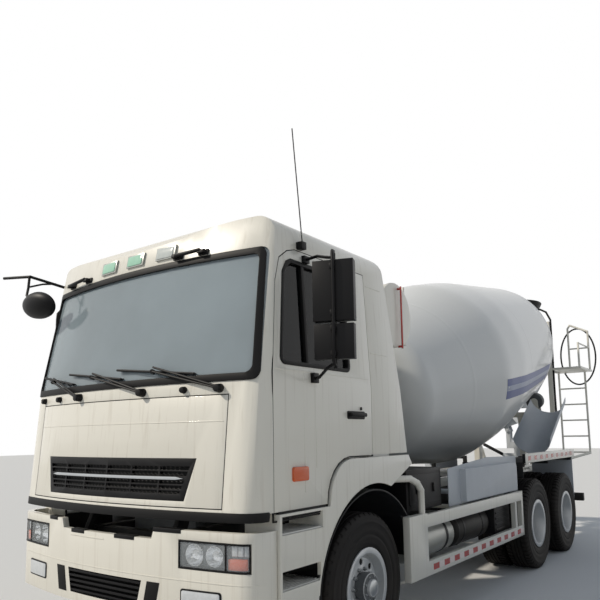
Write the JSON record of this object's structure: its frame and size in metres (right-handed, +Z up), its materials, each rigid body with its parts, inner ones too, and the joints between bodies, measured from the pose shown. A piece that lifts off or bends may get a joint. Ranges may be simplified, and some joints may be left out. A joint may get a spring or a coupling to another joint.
{
  "type": "concrete mixer truck",
  "caption": "Cab-over concrete mixer truck with a steered front axle, two driven rear axles, a rotating drum, hoppers, ladder and swinging discharge chute.",
  "frame": {"origin": "centre of the bounding box on the ground plane under the truck", "axes": "+Y runs to the rear of the truck, +X to its own left, +Z up"},
  "size_m": [3.244, 9.275, 4.0408],
  "materials": {
    "frame_paint": "satin black",
    "white_paint": "gloss white",
    "grey_paint": "satin grey",
    "black_plastic": "matte black",
    "rubber_tyre": "matte",
    "wheel_steel": "satin silver",
    "glass_tint": "clear",
    "lamp_glass": "clear",
    "cast_metal": "rough",
    "rod_chrome": "polished",
    "seat_fabric": "woven",
    "inner_plastic": "matte",
    "hose_rubber": "matte",
    "red_lamp": "gloss",
    "silver_paint": "satin silver"
  },
  "bodies": {
    "truck": {"chassis_frame": "frame_paint", "powertrain": "cast_metal", "front_axle": "frame_paint", "rear_axles": "frame_paint", "bumper": "white_paint", "headlamps": "lamp_glass", "front_fenders": "white_paint", "side_guards": "white_paint", "side_panels": "grey_paint", "rear_fenders": "black_plastic", "tanks": "silver_paint", "equipment_boxes": "black_plastic", "subframe": "white_paint", "drum_supports": "white_paint", "drum_gearbox": "cast_metal", "water_tank": "white_paint", "feed_hopper": "white_paint", "discharge_hopper": "grey_paint", "extension_chute": "grey_paint", "rear_ladder": "white_paint", "water_hoses": "hose_rubber", "rear_lamps": "red_lamp"},
    "cab": {"cab_shell": "white_paint", "cab_interior": "inner_plastic", "seats": "seat_fabric", "windscreen": "glass_tint", "roof_fittings": "black_plastic"},
    "lid": {"front_lid": "white_paint", "grille": "black_plastic"},
    "left_door": {"door_left": "white_paint", "glass_left": "glass_tint", "mirror_left": "black_plastic"},
    "right_door": {"door_right": "white_paint", "glass_right": "glass_tint", "mirror_right": "black_plastic"},
    "left_knuckle": {"knuckle_left": "cast_metal"},
    "right_knuckle": {"knuckle_right": "cast_metal"},
    "steering_rod": {"tie_rod": "frame_paint"},
    "front_wheel_left": {"tyre_front_left": "rubber_tyre", "rim_front_left": "wheel_steel"},
    "front_wheel_right": {"tyre_front_right": "rubber_tyre", "rim_front_right": "wheel_steel"},
    "mid_wheel_left": {"tyres_mid_left": "rubber_tyre", "rims_mid_left": "wheel_steel"},
    "mid_wheel_right": {"tyres_mid_right": "rubber_tyre", "rims_mid_right": "wheel_steel"},
    "rear_wheel_left": {"tyres_rear_left": "rubber_tyre", "rims_rear_left": "wheel_steel"},
    "rear_wheel_right": {"tyres_rear_right": "rubber_tyre", "rims_rear_right": "wheel_steel"},
    "mixing_drum": {"drum": "white_paint"},
    "left_roller": {"roller_left": "cast_metal"},
    "right_roller": {"roller_right": "cast_metal"},
    "chute_yoke": {"chute_swing": "grey_paint"},
    "chute": {"chute_main": "grey_paint"},
    "lift_cylinder": {"chute_cylinder": "frame_paint"},
    "lift_rod": {"chute_rod": "rod_chrome"}
  },
  "joints": [
    {"name": "cab_tilt", "type": "hinge", "parent": "truck", "child": "cab", "pos_m": [0, -4.4375, 0.9], "axis": [1, 0, 0], "range_deg": [0, 45]},
    {"name": "front_lid_hinge", "type": "hinge", "parent": "cab", "child": "lid", "pos_m": [0, -4.5715, 1.92], "axis": [-1, 0, 0], "range_deg": [0, 75]},
    {"name": "door_left_hinge", "type": "hinge", "parent": "cab", "child": "left_door", "pos_m": [1.215, -4.3125, 2], "axis": [0, 0, -1], "range_deg": [0, 70]},
    {"name": "door_right_hinge", "type": "hinge", "parent": "cab", "child": "right_door", "pos_m": [-1.215, -4.3125, 2], "axis": [0, 0, 1], "range_deg": [0, 70]},
    {"name": "steer_left", "type": "hinge", "parent": "truck", "child": "left_knuckle", "pos_m": [0.82, -3.1375, 0.54], "axis": [0, 0, 1], "range_deg": [-35, 35]},
    {"name": "steer_right", "type": "hinge", "parent": "truck", "child": "right_knuckle", "pos_m": [-0.82, -3.1375, 0.54], "axis": [0, 0, 1], "range_deg": [-35, 35]},
    {"name": "tie_rod_joint", "type": "hinge", "parent": "left_knuckle", "child": "steering_rod", "pos_m": [0.82, -2.9375, 0.405], "axis": [0, 0, 1], "range_deg": [-35, 35]},
    {"name": "wheel_front_left_spin", "type": "hinge", "parent": "left_knuckle", "child": "front_wheel_left", "pos_m": [1.01, -3.1375, 0.54], "axis": [1, 0, 0], "continuous": true},
    {"name": "wheel_front_right_spin", "type": "hinge", "parent": "right_knuckle", "child": "front_wheel_right", "pos_m": [-1.01, -3.1375, 0.54], "axis": [1, 0, 0], "continuous": true},
    {"name": "wheel_mid_left_spin", "type": "hinge", "parent": "truck", "child": "mid_wheel_left", "pos_m": [0.931, 0.8875, 0.54], "axis": [1, 0, 0], "continuous": true},
    {"name": "wheel_mid_right_spin", "type": "hinge", "parent": "truck", "child": "mid_wheel_right", "pos_m": [-0.931, 0.8875, 0.54], "axis": [1, 0, 0], "continuous": true},
    {"name": "wheel_rear_left_spin", "type": "hinge", "parent": "truck", "child": "rear_wheel_left", "pos_m": [0.931, 2.2375, 0.54], "axis": [1, 0, 0], "continuous": true},
    {"name": "wheel_rear_right_spin", "type": "hinge", "parent": "truck", "child": "rear_wheel_right", "pos_m": [-0.931, 2.2375, 0.54], "axis": [1, 0, 0], "continuous": true},
    {"name": "drum_spin", "type": "hinge", "parent": "truck", "child": "mixing_drum", "pos_m": [0, -0.1375, 2.334], "axis": [0, 0.9736, 0.2284], "continuous": true},
    {"name": "roller_left_spin", "type": "hinge", "parent": "truck", "child": "left_roller", "pos_m": [0.60744, 3.22075, 2.16092], "axis": [0, 0.9736, 0.2284], "continuous": true},
    {"name": "roller_right_spin", "type": "hinge", "parent": "truck", "child": "right_roller", "pos_m": [-0.60744, 3.22075, 2.16092], "axis": [0, 0.9736, 0.2284], "continuous": true},
    {"name": "chute_swing_joint", "type": "hinge", "parent": "truck", "child": "chute_yoke", "pos_m": [0, 4.12078, 1.7], "axis": [0, 0, -1], "range_deg": [0, 115]},
    {"name": "chute_tilt", "type": "hinge", "parent": "chute_yoke", "child": "chute", "pos_m": [-0.14, 4.12078, 1.7], "axis": [0, 1, 0], "range_deg": [-2, 20]},
    {"name": "lift_cylinder_hinge", "type": "hinge", "parent": "chute_yoke", "child": "lift_cylinder", "pos_m": [-0.228, 4.12078, 1.245], "axis": [0, 1, 0], "range_deg": [-2, 15]},
    {"name": "lift_rod_slide", "type": "slide", "parent": "lift_cylinder", "child": "lift_rod", "axis": [-0.8851, 0, 0.4655], "range_m": [-0.02, 0.155]}
  ],
  "couplings": [
    {"joint": "steer_right", "follows": "steer_left", "ratio": 1},
    {"joint": "tie_rod_joint", "follows": "steer_left", "ratio": -1},
    {"joint": "roller_left_spin", "follows": "drum_spin", "ratio": -7.5769},
    {"joint": "roller_right_spin", "follows": "drum_spin", "ratio": -7.5769},
    {"joint": "lift_cylinder_hinge", "follows": "chute_tilt", "ratio": 0.7031},
    {"joint": "lift_rod_slide", "follows": "chute_tilt", "m_per_rad": 0.4271}
  ]
}
